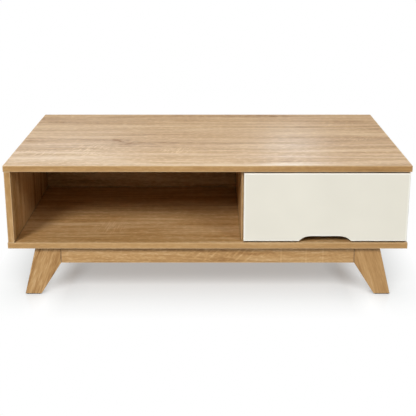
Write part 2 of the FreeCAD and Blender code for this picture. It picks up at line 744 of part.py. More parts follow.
def carcass_runner(label, hand):
    near = from_wall(hand, 0) if hand < 0 else from_wall(hand, d.runner_gap - d.runner_flange_gap)
    flange = d.runner_gap - d.runner_flange_gap
    piece = Piece(label, near, runner_front, runner_base)
    section = [
        (0, runner_base), (flange, runner_base), (flange, runner_base + d.runner_sheet),
        (d.runner_sheet, runner_base + d.runner_sheet), (d.runner_sheet, lip_under), (d.runner_lip, lip_under),
        (d.runner_lip, runner_top), (0, runner_top),
    ]
    piece.pad("Y", [(from_wall(hand, u), z) for u, z in section], drawer_rear)
    tab = piece.outline("Z", runner_base + d.runner_sheet, [
        (from_wall(hand, u), y) for u, y in (
            (d.runner_lip, stop_face - d.runner_sheet), (flange, stop_face - d.runner_sheet),
            (flange, stop_face), (d.runner_lip, stop_face),
        )
    ])
    stop = piece.body.newObject("PartDesign::Pad", "stop")
    stop.Profile = tab
    bind(stop, "Length", d.stop_height)
    wall = from_wall(hand, 0)
    inwards = -hand
    through = d.runner_sheet + d.cut_over
    piece.drill("X", wall, inwards, runner_screw_hole, through, runner_screws)
    piece.drill("X", wall, inwards, rivet_hole, through, [(front_axle, axle_level)])


def drawer_runner(label, hand):
    ledge = d.runner_gap + d.member_ledge
    near = from_wall(hand, flange_start) if hand < 0 else from_wall(hand, ledge)
    piece = Piece(label, near, runner_front, member_bottom)
    section = [
        (member_face, member_bottom), (ledge, member_bottom), (ledge, drawer_bottom), (d.runner_gap, drawer_bottom),
        (d.runner_gap, runner_top), (flange_start, runner_top), (flange_start, lip_under), (member_face, lip_under),
    ]
    piece.pad("Y", [(from_wall(hand, u), z) for u, z in section], drawer_rear)
    seat = from_wall(hand, member_face)
    inwards = -hand
    through = d.runner_sheet + d.cut_over
    piece.drill("X", seat, inwards, runner_screw_hole, through, runner_screws)
    piece.drill("X", seat, inwards, rivet_hole, through, [(rear_axle, axle_level)])


def roller(label, hand, y, from_drawer):
    """A nylon roller on its rivet, at a carcass member or, turned about, at a drawer member."""
    radius = d.roller_diameter / 2
    bore = d.rivet_diameter / 2 + d.rivet_play
    bevel = d.roller_width / 14
    width = d.roller_width
    piece = Piece(label).turn([
        (bore, 0), (radius - bevel, 0), (radius, bevel), (radius, width - bevel), (radius - bevel, width), (bore, width),
    ])
    seat = d.runner_gap - roller_seat if from_drawer else roller_seat
    inwards = hand if from_drawer else -hand
    stand(piece.body, from_wall(hand, seat), y, axle_level, INTO_X if inwards > 0 else INTO_MINUS_X)


carcass_runner("left_runner", -1)
carcass_runner("right_runner", 1)
drawer_runner("drawer_left_runner", -1)
drawer_runner("drawer_right_runner", 1)
roller("front_left_roller", -1, front_axle, False)
roller("front_right_roller", 1, front_axle, False)
roller("rear_left_roller", -1, rear_axle, True)
roller("rear_right_roller", 1, rear_axle, True)

shoulder_end = d.runner_sheet + d.rivet_shoulder
shank_end = shoulder_end + d.roller_width + 2 * d.rivet_slack
rivet_end = shank_end + d.rivet_head_height
rivet = pattern_of("rivet_pattern", [
    (0, 0), (d.rivet_diameter / 2, 0), (d.rivet_diameter / 2, d.runner_sheet), (d.rivet_head / 2, d.runner_sheet),
    (d.rivet_head / 2, shoulder_end), (d.rivet_diameter / 2, shoulder_end), (d.rivet_diameter / 2, shank_end),
    (d.rivet_head / 2, shank_end), (d.rivet_head / 2, rivet_end), (0, rivet_end),
])
group("roller_rivets", rivet, [
    (from_wall(-1, 0), front_axle, axle_level, INTO_X), (from_wall(1, 0), front_axle, axle_level, INTO_MINUS_X),
])
group("drawer_roller_rivets", rivet, [
    (from_wall(-1, d.runner_gap), rear_axle, axle_level, INTO_MINUS_X),
    (from_wall(1, d.runner_gap), rear_axle, axle_level, INTO_X),
])
runner_screw = screw_pattern(
    "runner_screw_pattern", d.runner_screw_head, d.runner_screw_head_height, d.runner_screw_diameter,
    d.runner_screw_length,
)
screw_head_wall = d.runner_sheet + d.runner_screw_head_height
screw_head_drawer = member_face - d.runner_screw_head_height
group("runner_screws", runner_screw, [
    (from_wall(hand, screw_head_wall), y, runner_screw_level, INTO_MINUS_X if hand < 0 else INTO_X)
    for hand in (-1, 1) for y in runner_screw_rows
])
group("drawer_runner_screws", runner_screw, [
    (from_wall(hand, screw_head_drawer), y, runner_screw_level, INTO_X if hand < 0 else INTO_MINUS_X)
    for hand in (-1, 1) for y in runner_screw_rows
])

# Drawer: front, two sides, back and a thin base board held in grooves.
front_left = divider_right - d.front_overlap
front_right = side_outer - d.front_end_gap
front_bottom = floor_top + d.front_gap_under
front_top = ceiling - d.front_gap_over
drawer_top = ceiling - d.drawer_top_gap
base_level = drawer_bottom + d.groove_rise
groove_height = d.drawer_base + 2 * d.groove_play
groove_under = base_level - d.groove_play
groove_over = groove_under + groove_height
box_left = from_wall(-1, d.runner_gap)
box_right = from_wall(1, d.runner_gap)
back_board_front = drawer_rear - d.drawer_board
groove_left = box_left + d.drawer_board - d.groove_depth
groove_right = box_right - d.drawer_board + d.groove_depth
groove_front = front_back - d.groove_depth
groove_rear = back_board_front + d.groove_depth
drawer_cam_level = (drawer_bottom + drawer_top) / 2
drawer_dowel_levels = [drawer_bottom + d.drawer_dowel_inset, drawer_top - d.drawer_dowel_inset]
side_middles = [box_left + d.drawer_board / 2, box_right - d.drawer_board / 2]
drawer_dowel_spots = [(x, z) for x in side_middles for z in drawer_dowel_levels]
drawer_bolt_spots = [(x, drawer_cam_level) for x in side_middles]
drawer_dowel_hole = hole(d.drawer_dowel_diameter)
drawer_dowel_in_edge = d.drawer_dowel_length - d.dowel_in_face + d.hole_relief
back_board_middle = drawer_rear - d.drawer_board / 2
drawer_screw_spots = [(back_board_middle, z) for z in drawer_dowel_levels]
drawer_screw_in_edge = d.drawer_screw_head_height + d.drawer_screw_length - d.drawer_board + d.hole_relief
drawer_cam_depth = d.drawer_board - d.drawer_cam_wall
drawer_cam_row = front_back + d.cam_distance
bumper_columns = [divider_right - d.front_overlap / 2, side_inner + d.board / 2]
bumper_levels = [front_bottom + d.bumper_inset, front_top - d.bumper_inset]

grip_middle = (front_left + front_right) / 2
grip_top = front_bottom + d.grip_height
grip_arc_run = root(2 * d.grip_radius * d.grip_height - d.grip_height * d.grip_height)
grip_flat = d.grip_width / 2 - grip_arc_run
grip_hub_level = grip_top - d.grip_radius
drawer_front = Piece("drawer_front", front_left, drawer_face, front_bottom)
drawer_front.block("Y", front_right, front_back, front_top)
grip_under = front_bottom - d.front_gap_under
drawer_front.cut("Y", drawer_face, 1, d.front_board + d.cut_over, [
    (grip_middle - d.grip_width / 2, grip_under), (grip_middle - d.grip_width / 2, front_bottom),
    (grip_middle - grip_flat, grip_top), (grip_middle + grip_flat, grip_top),
    (grip_middle + d.grip_width / 2, front_bottom), (grip_middle + d.grip_width / 2, grip_under),
], arcs={
    1: (d.grip_radius, (grip_middle - grip_flat, grip_hub_level)),
    3: (d.grip_radius, (grip_middle + grip_flat, grip_hub_level)),
})
drawer_front.soften(d.front_round, edges_across("Y"))
drawer_front.cut("Y", front_back, -1, d.groove_depth, [
    (groove_left, groove_under), (groove_right, groove_under), (groove_right, groove_over), (groove_left, groove_over),
])
drawer_front.drill("Y", front_back, -1, drawer_dowel_hole, dowel_hole_in_face, drawer_dowel_spots)
bolt_thread_hole = d.bolt_thread_length + d.hole_relief
drawer_front.drill("Y", front_back, -1, hole(d.bolt_thread), bolt_thread_hole, drawer_bolt_spots)


def drawer_side(label, hand):
    low = box_left if hand < 0 else box_right - d.drawer_board
    outer = box_left if hand < 0 else box_right
    inner = outer - hand * d.drawer_board
    piece = Piece(label, low, front_back, drawer_bottom)
    piece.block("X", low + d.drawer_board, drawer_rear, drawer_top)
    piece.cut("X", inner, hand, d.groove_depth, [
        (front_back, groove_under), (groove_rear, groove_under), (groove_rear, groove_over), (front_back, groove_over),
    ])
    middle = low + d.drawer_board / 2
    dowels = [(middle, z) for z in drawer_dowel_levels]
    piece.drill("Y", front_back, 1, drawer_dowel_hole, drawer_dowel_in_edge, dowels)
    piece.drill("Y", front_back, 1, bolt_hole, d.cam_distance, [(middle, drawer_cam_level)])
    cam_spot = [(drawer_cam_row, drawer_cam_level)]
    piece.drill("X", outer, -hand, hole(d.cam_diameter), drawer_cam_depth, cam_spot)
    piece.drill("X", outer, -hand, hole(d.drawer_screw_diameter), d.drawer_board + d.cut_over, drawer_screw_spots)
    piece.drill("X", outer, -hand, hole(d.drawer_screw_head), d.drawer_screw_head_height, drawer_screw_spots)
    piece.drill("X", outer, -hand, runner_screw_hole, runner_screw_depth, runner_screws)


drawer_side("drawer_left_side", -1)
drawer_side("drawer_right_side", 1)

inner_left = box_left + d.drawer_board
inner_right = box_right - d.drawer_board
drawer_back = Piece("drawer_back", inner_left, back_board_front, drawer_bottom)
drawer_back.block("Y", inner_right, drawer_rear, drawer_top)
drawer_back.cut("Y", back_board_front, 1, d.groove_depth, [
    (inner_left, groove_under), (inner_right, groove_under), (inner_right, groove_over), (inner_left, groove_over),
])
for wall, into in ((inner_left, 1), (inner_right, -1)):
    drawer_back.drill("X", wall, into, hole(d.drawer_screw_diameter), drawer_screw_in_edge, drawer_screw_spots)

base_board = Piece("drawer_base", groove_left + d.groove_play, groove_front + d.groove_play, base_level)
base_board.block("Z", groove_right - d.groove_play, groove_rear - d.groove_play, base_level + d.drawer_base)

drawer_dowel = dowel_pattern("drawer_dowel_pattern", d.drawer_dowel_diameter, d.drawer_dowel_length)
dowel_start = front_back - d.dowel_in_face
group("drawer_dowels", drawer_dowel, [(x, dowel_start, z, INTO_Y) for x, z in drawer_dowel_spots])
bolt_start = front_back - d.bolt_thread_length
group("drawer_cam_bolts", cam_bolt, [(x, bolt_start, z, INTO_Y) for x, z in drawer_bolt_spots])
drawer_cam = cam_pattern("drawer_cam_pattern", drawer_cam_depth, d.drawer_board / 2)
group("drawer_cam_discs", drawer_cam, [
    (box_left, drawer_cam_row, drawer_cam_level, facing(PX, NY)),
    (box_right, drawer_cam_row, drawer_cam_level, facing(NX, NY)),
])
drawer_screw = screw_pattern(
    "drawer_screw_pattern", d.drawer_screw_head, d.drawer_screw_head_height, d.drawer_screw_diameter,
    d.drawer_screw_length,
)
group("drawer_screws", drawer_screw, [
    (wall, y, z, rotation) for wall, rotation in ((box_left, INTO_X), (box_right, INTO_MINUS_X))
    for y, z in drawer_screw_spots
])
bumper_height = d.front_gap - d.bumper_play
bumper = pattern_of("bumper_pattern", [
    (0, 0), (d.bumper_diameter / 2, 0), (d.bumper_diameter / 2, bumper_height / 2),
    (d.bumper_diameter / 2 - bumper_height / 2, bumper_height), (0, bumper_height),
])
group("drawer_bumpers", bumper, [(x, front_back, z, INTO_Y) for x in bumper_columns for z in bumper_levels])

doc.recompute()
faults = [
    thing.Label for thing in doc.Objects if "Invalid" in thing.State or "Error" in thing.State
]
for part in SUB_PARTS:
    if part.Shape.isNull() or not part.Shape.isValid() or not part.Shape.Solids:
        faults.append(part.Label)
if faults:
    raise RuntimeError("not built: " + ", ".join(sorted(set(faults))))
os.makedirs("parts", exist_ok=True)
for part in SUB_PARTS:
    part.Shape.exportStep(f"parts/{part.Label}.step")
print(len(SUB_PARTS), "nodes", sum(len(part.Shape.Solids) for part in SUB_PARTS), "solids")
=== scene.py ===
"""Looks of a low coffee table with an open bay, one drawer and a splayed base.

The boards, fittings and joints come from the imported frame. This script gives each of them its finish, and sets the
floor, the light and the camera. Places are in metres, and the sizes of grain and texture are in millimetres.
"""
import math
from functools import partial

import bpy
import numpy as np
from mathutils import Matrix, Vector


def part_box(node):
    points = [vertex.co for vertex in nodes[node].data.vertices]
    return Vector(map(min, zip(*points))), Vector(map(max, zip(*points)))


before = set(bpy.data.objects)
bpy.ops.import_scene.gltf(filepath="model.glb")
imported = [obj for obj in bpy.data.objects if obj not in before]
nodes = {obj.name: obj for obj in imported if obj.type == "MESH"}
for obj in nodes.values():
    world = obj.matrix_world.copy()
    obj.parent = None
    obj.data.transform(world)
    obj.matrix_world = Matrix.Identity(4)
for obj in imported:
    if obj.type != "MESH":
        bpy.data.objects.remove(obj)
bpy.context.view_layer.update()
scene = bpy.context.scene
scene.view_settings.view_transform = "Standard"

MM = 1000           # millimetres in a metre
TOP_FACE = 400      # height of the table's upper face, in millimetres


def linear(code):
    """Turns an sRGB hex colour into the linear colour that sockets take."""
    srgb = np.array([int(code[at:at + 2], 16) for at in (1, 3, 5)]) / 255
    rgb = np.where(srgb <= 0.04045, srgb / 12.92, ((srgb + 0.055) / 1.055) ** 2.4)
    return (*rgb.tolist(), 1.0)


def node(tree, kind, inputs=(), out=0, stops=(), **settings):
    """Adds one node to a tree and gives one of its outputs.

    Inputs are numbers or other nodes' outputs, in the order of the sockets, or by the sockets' numbers or names.
    Stops are the places and colours of a colour ramp.
    """
    made = tree.nodes.new("ShaderNode" + kind)
    for name, value in settings.items():
        setattr(made, name, value)
    for key, value in inputs.items() if isinstance(inputs, dict) else enumerate(inputs):
        if isinstance(value, bpy.types.NodeSocket):
            tree.links.new(value, made.inputs[key])
        else:
            made.inputs[key].default_value = value
    for at, (position, code) in enumerate(stops):
        ramp = made.color_ramp.elements
        stop = ramp[at] if at < len(ramp) else ramp.new(position)
        stop.position = position
        stop.color = linear(code)
    return made.outputs[out] if made.outputs else made


def blank_finish(name):
    """A new finish: its material, the node function bound to its tree, and the place on the piece in millimetres."""
    made = bpy.data.materials.new(name)
    made.use_nodes = True
    made.node_tree.nodes.clear()
    add = partial(node, made.node_tree)
    place = add("VectorMath", {0: add("TexCoord", out="Object"), "Scale": MM}, operation="SCALE")
    return made, add, place


def close_finish(add, height, relief, sockets):
    """Ends a finish in its shader. Height is a 0 to 1 pattern, and relief is how deep it goes, in millimetres."""
    normal = add("Bump", {"Height": height, "Distance": relief / MM, "Strength": 1.0})
    shader = add("BsdfPrincipled", {**sockets, "Normal": normal})
    add("OutputMaterial", {"Surface": shader})


def cells(add, place, size, detail=2.0, turn=0.0):
    """Smooth noise whose cells have the given size in millimetres along each axis, turned about Z by degrees."""
    facts = {"Vector": place, "Rotation": (0, 0, math.radians(turn)), "Scale": size}
    stretched = add("Mapping", facts, vector_type="TEXTURE")
    return add("TexNoise", {"Vector": stretched, "Scale": 1.0, "Detail": detail})


def oval(add, place, middle, half, turn=0.0):
    """Distance from the middle of an oval in its half sizes: 0 at the middle and 1 at the rim.

    The oval is turned about Z by degrees.
    """
    facts = {"Vector": place, "Location": middle, "Rotation": (0, 0, math.radians(turn)), "Scale": half}
    inside = add("Mapping", facts, vector_type="TEXTURE")
    return add("VectorMath", [inside], out=1, operation="LENGTH")


def looking_along(add):
    """How squarely a face looks along X, Y and Z, each from -1 to 1."""
    return add("SeparateXYZ", [add("NewGeometry", out="Normal")]).node.outputs


def edge_gap(add, place, piece):
    """Distance in millimetres from a point on a board's face to the board's nearest edge.

    On each axis, the gap to the board's end is its half length less the distance from its middle. On a face the
    smallest gap is the face itself, so the middle one of the three gaps is the distance to the edge.
    """
    low, high = (np.array(corner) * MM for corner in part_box(piece))
    off = add("VectorMath", (place, (low + high) / 2), operation="SUBTRACT")
    off = add("VectorMath", [off], operation="ABSOLUTE")
    x, y, z = add("SeparateXYZ", [add("VectorMath", ((high - low) / 2, off), operation="SUBTRACT")]).node.outputs
    less = add("Math", (x, y), operation="MINIMUM")
    more = add("Math", (x, y), operation="MAXIMUM")
    return add("Math", (less, add("Math", (more, z), operation="MINIMUM")), operation="MAXIMUM")


def paint_shade_in_joints(add, colour, reach=5):
    """Darkens a colour within reach, in millimetres, of a joint or a narrow gap: painted shade."""
    clear = add("AmbientOcclusion", {"Distance": reach / MM}, out="AO", samples=4)
    shade = add("MapRange", (clear, 0.45, 0.85, 0.4, 1))
    return add("VectorMath", {0: colour, "Scale": shade}, operation="SCALE")


def lie_of_grain(add, place, along, lean, start, banded_ends, knots):
    """Where a point lies in the oak print, with the first axis along the grain.

    Lean turns the grain about Y. On banded ends, the faces that look along X carry a band with grain along Y. Round
    a knot the print is drawn across the grain towards the knot's middle, by up to four fifths of the way. Start
    shifts the print, and slow bends sway it.
    """
    knot_reach, draw = (90, 40, 90), 0.8
    bend_size, sway = (420, 130, 130), 10
    x, y, z = add("SeparateXYZ", [add("Mapping", {"Vector": place, "Rotation": (0, lean, 0)})]).node.outputs
    grain = add("CombineXYZ", {"X": (x, y, z), "Y": (y, x, z), "Z": (z, x, y)}[along])
    if banded_ends:
        sideways = add("Math", [looking_along(add)[0]], operation="ABSOLUTE")
        end = add("Math", (sideways, 0.7), operation="GREATER_THAN")
        grain = add("Mix", {0: end, 4: grain, 5: add("CombineXYZ", (y, z, x))}, out=1, data_type="VECTOR")
    for knot in knots:
        pull = add("MapRange", (oval(add, place, knot, knot_reach), 0.1, 1.0, -draw, 0))
        across = add("VectorMath", (place, knot), operation="SUBTRACT")
        across = add("VectorMath", (across, (0, 1, 0)), operation="MULTIPLY")
        drawn = add("VectorMath", {0: across, "Scale": pull}, operation="SCALE")
        grain = add("VectorMath", (grain, drawn), operation="ADD")
    grain = add("VectorMath", (grain, start), operation="ADD")
    bend = add("MapRange", (cells(add, grain, bend_size, 1.0), 0.2, 0.8, -sway, sway))
    return add("VectorMath", (grain, add("CombineXYZ", (0, bend, bend))), operation="ADD")


def oak_marks(add, place, tone, streaks, flecks, seams):
    """Adds the marks of the print that are placed one by one to its tone, which goes from 0, dark, to 1, pale.

    A streak is an oval that is strongest in its middle. A fleck is a patch of short strokes where the print cuts the
    wood's rays: its middle, its half sizes, the slant of its strokes to the grain, their size and their strength. A
    seam is a line across a rail at a place along X, dark for a joint and pale for a hairline.
    """
    x, y, z = add("SeparateXYZ", [place]).node.outputs
    flat = add("CombineXYZ", (x, add("Math", (y, z), operation="ADD"), 0))
    for middle, half, turn, strength in streaks:
        line = add("MapRange", (oval(add, place, middle, half, turn), 0, 1, strength, 0))
        tone = add("Math", (tone, line), operation="ADD")
    for middle, half, slant, stroke, strength in flecks:
        inside = add("MapRange", (oval(add, place, middle, half), 0.4, 1, 1, 0))
        strokes = cells(add, flat, (*stroke, 1), 1.0, slant)
        strokes = add("MapRange", (strokes, 0.52, 0.66, 0, strength))
        tone = add("Math", (strokes, inside, tone), operation="MULTIPLY_ADD")
    for seam, strength in seams:
        gap = add("Math", [add("Math", (x, seam), operation="SUBTRACT")], operation="ABSOLUTE")
        tone = add("Math", (tone, add("MapRange", (gap, 1.4, 3.2, strength, 0))), operation="ADD")
    return tone


def oak_foil(piece, along, start, lean=0.0, figure=1.0, tick=(16, 8, 5), contrast=1.0, tone=0.5, band=0.0,
             banded_ends=False, square=True, knots=(), streaks=(), flecks=(), seams=()):
    """Oak-print foil on chipboard: brown and pale streaks, short ticks and pores, and a satin top coat.

    The grain runs along one axis of the frame. Figure scales the bands, streaks and dashes, and tick is the size of
    the short marks. Contrast and tone are the print's strength and its middle tone. The dark wood is embossed, so it
    is less glossy. The narrow edges of a square board carry a calmer print than its faces, which band makes darker or
    paler, in places as painted shade, and carry a painted pale highlight along their corners.
    """
    made, add, place = blank_finish("oak_foil_" + piece)
    grain = lie_of_grain(add, place, along, lean, start, banded_ends, knots)
    sized = add("VectorMath", {0: grain, "Scale": 1 / figure}, operation="SCALE")
    fine = cells(add, grain, (48, 2.6, 2.6))
    # real pores are 0.3 mm wide; drawn 1.4 mm wide so that they show
    pores = add("MapRange", (cells(add, grain, (30, 1.4, 1.4), 0.0), 0.60, 0.74, 0, 1))
    pale_dots = add("MapRange", (cells(add, grain, tick, 1.0), 0.46, 0.72, 0, 1))
    # bands of darker and paler wood, long streaks, dashes, pale dots, fine lines and pores, each with its strength
    long_streaks = cells(add, sized, (460, 20, 20))
    layers = (
        (cells(add, sized, (900, 55, 55)), 0.60), (long_streaks, 1.0), (cells(add, sized, (130, 8, 8)), 0.55),
        (pale_dots, 0.24), (fine, 0.30), (pores, -0.12),
    )
    # noise is about 0.5 on average, so the sum starts where its own average comes to a little over 0
    total = 0.06 - 0.5 * sum(strength for _, strength in layers)
    for layer, strength in layers:
        total = add("Math", (layer, strength, total), operation="MULTIPLY_ADD")
    total = add("Math", (total, contrast, tone), operation="MULTIPLY_ADD")
    total = oak_marks(add, place, total, streaks, flecks, seams)
    if square:
        thin_axis = int(np.argmin(np.subtract(*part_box(piece)[::-1])))
        on_face = add("Math", [looking_along(add)[thin_axis]], operation="ABSOLUTE")
        kept = add("MapRange", (on_face, 0.3, 0.7, 0.5, 1))
        calm = add("MapRange", (on_face, 0.3, 0.7, 0.25 + band, 0))
        total = add("Math", (total, kept, calm), operation="MULTIPLY_ADD")
    stops = ((0.0, "#6E4926"), (0.25, "#A27746"), (0.52, "#BF9561"), (0.85, "#DAB78A"))
    colour = add("ValToRGB", [total], stops=stops)
    if square:
        # a painted pale highlight along the corners, where a rounded arris would catch the light
        arris_highlight = add("MapRange", (edge_gap(add, place, piece), 1.2, 3.0, 0.5, 0))
        colour = add("Mix", {0: arris_highlight, 6: colour, 7: linear("#DBBC92")}, out=2, data_type="RGBA")
    height = add("Math", (pores, -0.7, fine), operation="MULTIPLY_ADD")
    satin = add("MapRange", (long_streaks, 0.3, 0.7, 0.46, 0.28))
    embossed = add("MapRange", (total, 0.12, 0.32, 0.85, 0.28))
    roughness = add("Math", (satin, embossed), operation="MAXIMUM")
    # the base colour carries painted shade near joints and narrow gaps
    close_finish(add, height, 0.04, {"Base Color": paint_shade_in_joints(add, colour), "Roughness": roughness})
    return made


def cream_lacquer(piece):
    """Cream lacquer sprayed on fibreboard: even and silky, with a faint orange peel and a paler rim round its face.

    The rim is a painted highlight. It follows the lower edge, which rises in a smooth step at each end of the finger
    cut-out.
    """
    flat_half, cut_half, cut_rise = 40, 75, 15
    made, add, place = blank_finish("cream_lacquer")
    cloud = cells(add, place, (160, 160, 160))
    peel = cells(add, place, (2.6, 2.6, 2.6), 1.0)
    colour = add("ValToRGB", [cloud], stops=((0.3, "#ECE7DB"), (0.7, "#F1ECE0")))
    low, high = (np.array(corner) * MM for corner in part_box(piece))
    x, _, z = add("SeparateXYZ", [place]).node.outputs
    off = add("Math", (x, (low[0] + high[0]) / 2), operation="SUBTRACT")
    off = add("Math", [off], operation="ABSOLUTE")
    rise = add("MapRange", (off, flat_half, cut_half, low[2] + cut_rise, low[2]), interpolation_type="SMOOTHSTEP")
    over = add("Math", (z, rise), operation="SUBTRACT")
    gap = add("Math", (over, edge_gap(add, place, piece)), operation="MINIMUM")
    front = add("MapRange", (looking_along(add)[1], -0.7, -0.3, 0.9, 0))
    # a painted pale highlight round the rim of the front face
    rim = add("Math", (front, add("MapRange", (gap, 3.2, 5.2, 1, 0))), operation="MULTIPLY")
    colour = add("Mix", {0: rim, 6: colour, 7: linear("#FDFAF2")}, out=2, data_type="RGBA")
    roughness = add("MapRange", (cloud, 0.3, 0.7, 0.40, 0.46))
    # the base colour carries painted shade near joints and narrow gaps
    close_finish(add, peel, 0.02, {"Base Color": paint_shade_in_joints(add, colour), "Roughness": roughness})
    return made


def speckled(name, dark, light, grit, relief, rough, sockets=()):
    """A finish whose colour, roughness and relief come from an even speckle, grit millimetres across.

    Clouds 14 times as wide as the grit vary its colour and roughness.
    """
    made, add, place = blank_finish(name)
    speck = cells(add, place, (grit, grit, grit), 3.0)
    cloud = cells(add, place, (grit * 14,) * 3)
    both = add("Math", (add("Math", (speck, cloud), operation="ADD"), 0.5), operation="MULTIPLY")
    colour = add("ValToRGB", [both], stops=((0.36, dark), (0.64, light)))
    roughness = add("MapRange", (both, 0.36, 0.64, *rough))
    close_finish(add, speck, relief, {"Base Color": colour, "Roughness": roughness, **dict(sockets)})
    return made


LEAN = math.atan2(50, 149)      # a leg's axis goes 50 mm sideways over 149 mm of height
leg_print = {"along": "Z", "figure": 0.5, "tick": (26, 3, 3), "contrast": 0.72, "tone": 0.44, "square": False}
rail_print = {"along": "X", "figure": 0.8, "tick": (12, 9, 4), "contrast": 0.8, "tone": 0.465}
# Seams of the rails, each with its place along X and its strength: dark where a leg begins, pale for hairlines.
joints_to_legs = ((-428, -0.9), (428, -0.9))
rail_hairlines = ((214, 0.15), (287, 0.10), (336, 0.11))
KNOT = (-279, -46)
# Streaks of the top, each with its middle and half sizes along X and Y, its turn in degrees and its strength. First
# come the knot's heart, its smudge and its two tails, then the broad bands from the rear to the front, then patches.
streaks_on_top = (
    (KNOT, (38, 15), -57, -0.24), ((-252, -68), (62, 42), 0, -0.28),
    ((-330, -36), (120, 15), 0, -0.17), ((-80, -42), (210, 18), 0, -0.15),
    ((0, 285), (2500, 95), 0, -0.14), ((0, 155), (1500, 35), 0, 0.10),
    ((0, 110), (1500, 35), 0, -0.16), ((0, 32), (1500, 36), 0, 0.16),
    ((0, -48), (1500, 34), 0, -0.14), ((0, -105), (1500, 30), 0, -0.10),
    ((0, -190), (1500, 42), 0, 0.26), ((-350, -285), (900, 90), 0, 0.18),
    ((420, -298), (400, 30), 0, -0.22), ((20, -262), (150, 60), 0, 0.14),
    ((400, -58), (220, 75), 0, -0.20), ((500, -25), (100, 15), 0, -0.20),
    ((415, -188), (90, 18), 0, -0.16),
)
# Pale strokes on the top where the print cuts the wood's rays: middle, half sizes and strength of each patch.
flecks_on_top = (
    ((-352, -150), (75, 85), 0.5), ((-92, -155), (70, 55), 0.36), ((-500, -185), (90, 40), 0.5),
    ((467, -22), (60, 36), 0.24),
)
ray_slant, ray_stroke = 68, (38, 6)
through = 90    # half height of the ovals on the top, which go right through the panel
top_streaks = [
    ((*middle, TOP_FACE), (*half, through), turn, strength) for middle, half, turn, strength in streaks_on_top
]
top_flecks = [
    ((*middle, TOP_FACE), (*half, through), ray_slant, ray_stroke, strength)
    for middle, half, strength in flecks_on_top
]
# The strokes and the darker middle of the front rail, and the strokes on the floor of the bay.
rail_flecks = [((62, -303, 125), (180, 40, 34), 42, (42, 7), 0.18)]
rail_streaks = [((20, -303, 125), (140, 60, 60), 0, -0.12)]
bay_flecks = [((-292, -195, 170), (60, 70, 90), 84, (60, 4), 0.28)]
oak_boards = {
    # the top's narrow edges are printed darker: painted shade
    "top_panel": {"along": "X", "start": (0, 0, 0), "banded_ends": True, "figure": 1.4, "tone": 0.515,
                  "knots": [(*KNOT, TOP_FACE)], "streaks": top_streaks, "flecks": top_flecks, "band": -0.10},
    "bottom_panel": {"along": "X", "start": (700, 430, 90), "banded_ends": True, "contrast": 0.85, "tone": 0.54,
                     "flecks": bay_flecks, "band": -0.04},
    "back_panel": {"along": "X", "start": (1900, 310, 710)},
    "left_side_panel": {"along": "Z", "start": (350, 60, 520), "band": -0.06},
    "right_side_panel": {"along": "Z", "start": (2350, 810, 120), "band": -0.06},
    # the divider's narrow edges are printed darker: painted shade where the drawer front stands before them
    "divider_panel": {"along": "Z", "start": (1350, 260, 920), "band": -0.12},
    "front_rail": {**rail_print, "start": (3100, 640, 300), "streaks": rail_streaks, "flecks": rail_flecks,
                   "seams": joints_to_legs + rail_hairlines},
    "rear_rail": {**rail_print, "start": (4100, 240, 800), "seams": joints_to_legs},
    "left_side_rail": {**rail_print, "along": "Y", "start": (5100, 140, 600)},
    "right_side_rail": {**rail_print, "along": "Y", "start": (5900, 740, 200)},
    "front_left_leg": {**leg_print, "start": (6400, 350, 150), "lean": -LEAN, "contrast": 0.85, "tone": 0.41},
    "front_right_leg": {**leg_print, "start": (7000, 950, 450), "lean": LEAN, "contrast": 0.45},
    "rear_left_leg": {**leg_print, "start": (7600, 550, 850), "lean": -LEAN},
    "rear_right_leg": {**leg_print, "start": (8200, 150, 250), "lean": LEAN},
}
finishes = {piece: oak_foil(piece, **print_facts) for piece, print_facts in oak_boards.items()}
finishes["drawer_front"] = cream_lacquer("drawer_front")

# White melamine foil on chipboard: matt, with a barely visible grey cloud.
white_foil = speckled("white_melamine_foil", "#E3E1DA", "#E9E7E0", 3.0, 0.03, (0.50, 0.58))
# Hardboard, painted white on its smooth side: duller than the foil, with a soft fibrous relief.
painted_hardboard = speckled("painted_hardboard", "#DAD7CE", "#E1DED5", 1.8, 0.06, (0.60, 0.72))
# Turned beech: pinkish tan with short brown flecks.
beech = speckled("turned_beech", "#B98A5C", "#D8B083", 1.4, 0.05, (0.55, 0.65))
# Zinc-plated steel: a bright grey metal with a slightly cloudy, silky plating.
zinc_plate = speckled("zinc_plated_steel", "#AEB2B5", "#D3D6D8", 0.8, 0.01, (0.26, 0.40), {"Metallic": 1.0})
# Die-cast zinc: a duller grey metal with the grain of the mould.
cast_zinc = speckled("die_cast_zinc", "#86898B", "#B4B6B8", 0.6, 0.03, (0.42, 0.58), {"Metallic": 1.0})
# White epoxy powder coat on steel: a clean white with a fine orange peel.
powder_coat = speckled("white_powder_coat", "#E3E2DC", "#F0EFEA", 1.2, 0.03, (0.36, 0.46))
# Moulded nylon: a warm milky white.
nylon = speckled("moulded_nylon", "#E2DDD0", "#EFEBE0", 1.0, 0.01, (0.32, 0.42))
# Moulded polypropylene: black, with a fine sparked texture.
black_plastic = speckled("black_polypropylene", "#1B1A19", "#2B2927", 0.7, 0.03, (0.46, 0.60))
# Moulded polystyrene in the colour of the foil.
brown_plastic = speckled("brown_polystyrene", "#A47E50", "#B58E5E", 0.9, 0.02, (0.40, 0.50))
# Clear polyurethane: milky where it is thick.
milky = {"Transmission Weight": 0.5}
clear_rubber = speckled("clear_polyurethane", "#D5DAD8", "#E8ECEA", 0.8, 0.01, (0.18, 0.30), milky)

